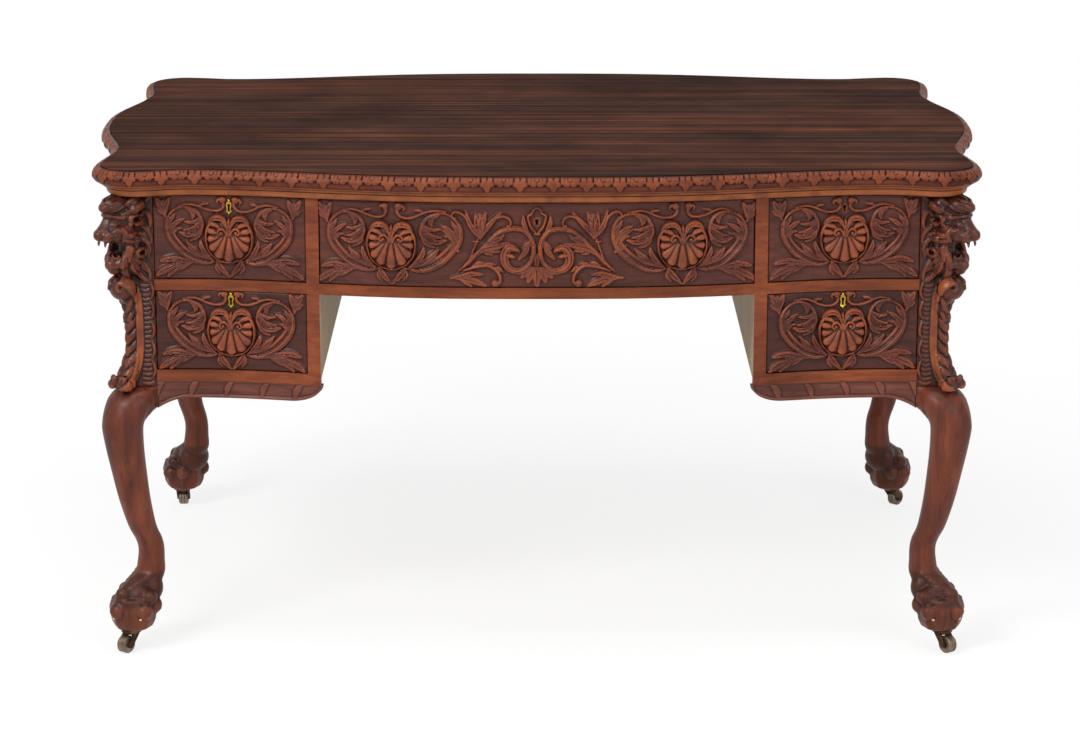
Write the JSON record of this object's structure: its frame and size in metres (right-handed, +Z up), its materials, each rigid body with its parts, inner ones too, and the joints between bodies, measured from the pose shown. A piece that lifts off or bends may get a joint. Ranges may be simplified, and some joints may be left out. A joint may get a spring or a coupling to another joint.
{
  "type": "partners desk",
  "caption": "Two-sided pedestal desk with a serpentine top, carved drawers on both sides, beast's-head corner posts, cabriole legs with paw feet, and casters.",
  "frame": {"origin": "on the floor under the middle of the desk", "axes": "+X along the desk to the right of someone facing the front, the front faces -Y, +Z up"},
  "size_m": [1.414, 0.968, 0.775],
  "materials": {
    "top_wood": "polished",
    "edge_wood": "waxed carving",
    "cornice_wood": "waxed",
    "carved_wood": "waxed carving",
    "drawer_wood": "waxed carving",
    "griffin_wood": "waxed carving",
    "leg_wood": "waxed carving",
    "rail_wood": "waxed",
    "lining_wood": "bare",
    "inner_wood": "bare",
    "lock_brass": "aged",
    "socket_brass": "aged",
    "horn_metal": "aged",
    "wheel_brass": "worn"
  },
  "bodies": {
    "desk": {"desk_top": "top_wood", "carved_edge": "edge_wood", "cornice_board": "cornice_wood", "end_panel_left": "carved_wood", "end_panel_right": "carved_wood", "kneehole_panel_left": "lining_wood", "kneehole_panel_right": "lining_wood", "stiles": "rail_wood", "drawer_rails": "rail_wood", "bottom_rails": "rail_wood", "aprons": "carved_wood", "dust_boards": "inner_wood", "drawer_guides": "inner_wood", "caster_sockets": "socket_brass", "griffin_front_left": "griffin_wood", "griffin_front_right": "griffin_wood", "griffin_rear_left": "griffin_wood", "griffin_rear_right": "griffin_wood", "leg_front_left": "leg_wood", "leg_front_right": "leg_wood", "leg_rear_left": "leg_wood", "leg_rear_right": "leg_wood"},
    "front_left_upper_drawer": {"front_left_upper_front": "drawer_wood", "front_left_upper_box": "inner_wood", "front_left_upper_lock": "lock_brass"},
    "front_left_lower_drawer": {"front_left_lower_front": "drawer_wood", "front_left_lower_box": "inner_wood", "front_left_lower_lock": "lock_brass"},
    "front_centre_drawer": {"front_centre_front": "drawer_wood", "front_centre_box": "inner_wood", "front_centre_lock": "lock_brass"},
    "front_right_upper_drawer": {"front_right_upper_front": "drawer_wood", "front_right_upper_box": "inner_wood", "front_right_upper_lock": "lock_brass"},
    "front_right_lower_drawer": {"front_right_lower_front": "drawer_wood", "front_right_lower_box": "inner_wood", "front_right_lower_lock": "lock_brass"},
    "rear_left_upper_drawer": {"rear_left_upper_front": "drawer_wood", "rear_left_upper_box": "inner_wood", "rear_left_upper_lock": "lock_brass"},
    "rear_left_lower_drawer": {"rear_left_lower_front": "drawer_wood", "rear_left_lower_box": "inner_wood", "rear_left_lower_lock": "lock_brass"},
    "rear_centre_drawer": {"rear_centre_front": "drawer_wood", "rear_centre_box": "inner_wood", "rear_centre_lock": "lock_brass"},
    "rear_right_upper_drawer": {"rear_right_upper_front": "drawer_wood", "rear_right_upper_box": "inner_wood", "rear_right_upper_lock": "lock_brass"},
    "rear_right_lower_drawer": {"rear_right_lower_front": "drawer_wood", "rear_right_lower_box": "inner_wood", "rear_right_lower_lock": "lock_brass"},
    "horn_front_left": {"caster_horn_front_left": "horn_metal"},
    "wheel_front_left": {"caster_wheel_front_left": "wheel_brass"},
    "horn_front_right": {"caster_horn_front_right": "horn_metal"},
    "wheel_front_right": {"caster_wheel_front_right": "wheel_brass"},
    "horn_rear_left": {"caster_horn_rear_left": "horn_metal"},
    "wheel_rear_left": {"caster_wheel_rear_left": "wheel_brass"},
    "horn_rear_right": {"caster_horn_rear_right": "horn_metal"},
    "wheel_rear_right": {"caster_wheel_rear_right": "wheel_brass"}
  },
  "joints": [
    {"name": "front_left_upper_slide", "type": "slide", "parent": "desk", "child": "front_left_upper_drawer", "axis": [0, -1, 0], "range_m": [0, 0.3]},
    {"name": "front_left_lower_slide", "type": "slide", "parent": "desk", "child": "front_left_lower_drawer", "axis": [0, -1, 0], "range_m": [0, 0.3]},
    {"name": "front_centre_slide", "type": "slide", "parent": "desk", "child": "front_centre_drawer", "axis": [0, -1, 0], "range_m": [0, 0.3]},
    {"name": "front_right_upper_slide", "type": "slide", "parent": "desk", "child": "front_right_upper_drawer", "axis": [0, -1, 0], "range_m": [0, 0.3]},
    {"name": "front_right_lower_slide", "type": "slide", "parent": "desk", "child": "front_right_lower_drawer", "axis": [0, -1, 0], "range_m": [0, 0.3]},
    {"name": "rear_left_upper_slide", "type": "slide", "parent": "desk", "child": "rear_left_upper_drawer", "axis": [0, 1, 0], "range_m": [0, 0.3]},
    {"name": "rear_left_lower_slide", "type": "slide", "parent": "desk", "child": "rear_left_lower_drawer", "axis": [0, 1, 0], "range_m": [0, 0.3]},
    {"name": "rear_centre_slide", "type": "slide", "parent": "desk", "child": "rear_centre_drawer", "axis": [0, 1, 0], "range_m": [0, 0.3]},
    {"name": "rear_right_upper_slide", "type": "slide", "parent": "desk", "child": "rear_right_upper_drawer", "axis": [0, 1, 0], "range_m": [0, 0.3]},
    {"name": "rear_right_lower_slide", "type": "slide", "parent": "desk", "child": "rear_right_lower_drawer", "axis": [0, 1, 0], "range_m": [0, 0.3]},
    {"name": "caster_swivel_front_left", "type": "hinge", "parent": "desk", "child": "horn_front_left", "pos_m": [-0.63828, -0.39528, 0.03], "axis": [0, 0, 1], "continuous": true},
    {"name": "caster_roll_front_left", "type": "hinge", "parent": "horn_front_left", "child": "wheel_front_left", "pos_m": [-0.64611, -0.40567, 0.014], "axis": [0.7986, -0.6018, 0], "continuous": true},
    {"name": "caster_swivel_front_right", "type": "hinge", "parent": "desk", "child": "horn_front_right", "pos_m": [0.63828, -0.39528, 0.03], "axis": [0, 0, 1], "continuous": true},
    {"name": "caster_roll_front_right", "type": "hinge", "parent": "horn_front_right", "child": "wheel_front_right", "pos_m": [0.64611, -0.40567, 0.014], "axis": [0.7986, 0.6018, 0], "continuous": true},
    {"name": "caster_swivel_rear_left", "type": "hinge", "parent": "desk", "child": "horn_rear_left", "pos_m": [-0.63828, 0.39528, 0.03], "axis": [0, 0, 1], "continuous": true},
    {"name": "caster_roll_rear_left", "type": "hinge", "parent": "horn_rear_left", "child": "wheel_rear_left", "pos_m": [-0.63828, 0.40828, 0.014], "axis": [-1, 0, 0], "continuous": true},
    {"name": "caster_swivel_rear_right", "type": "hinge", "parent": "desk", "child": "horn_rear_right", "pos_m": [0.63828, 0.39528, 0.03], "axis": [0, 0, 1], "continuous": true},
    {"name": "caster_roll_rear_right", "type": "hinge", "parent": "horn_rear_right", "child": "wheel_rear_right", "pos_m": [0.64748, 0.40448, 0.014], "axis": [-0.7071, 0.7071, 0], "continuous": true}
  ]
}
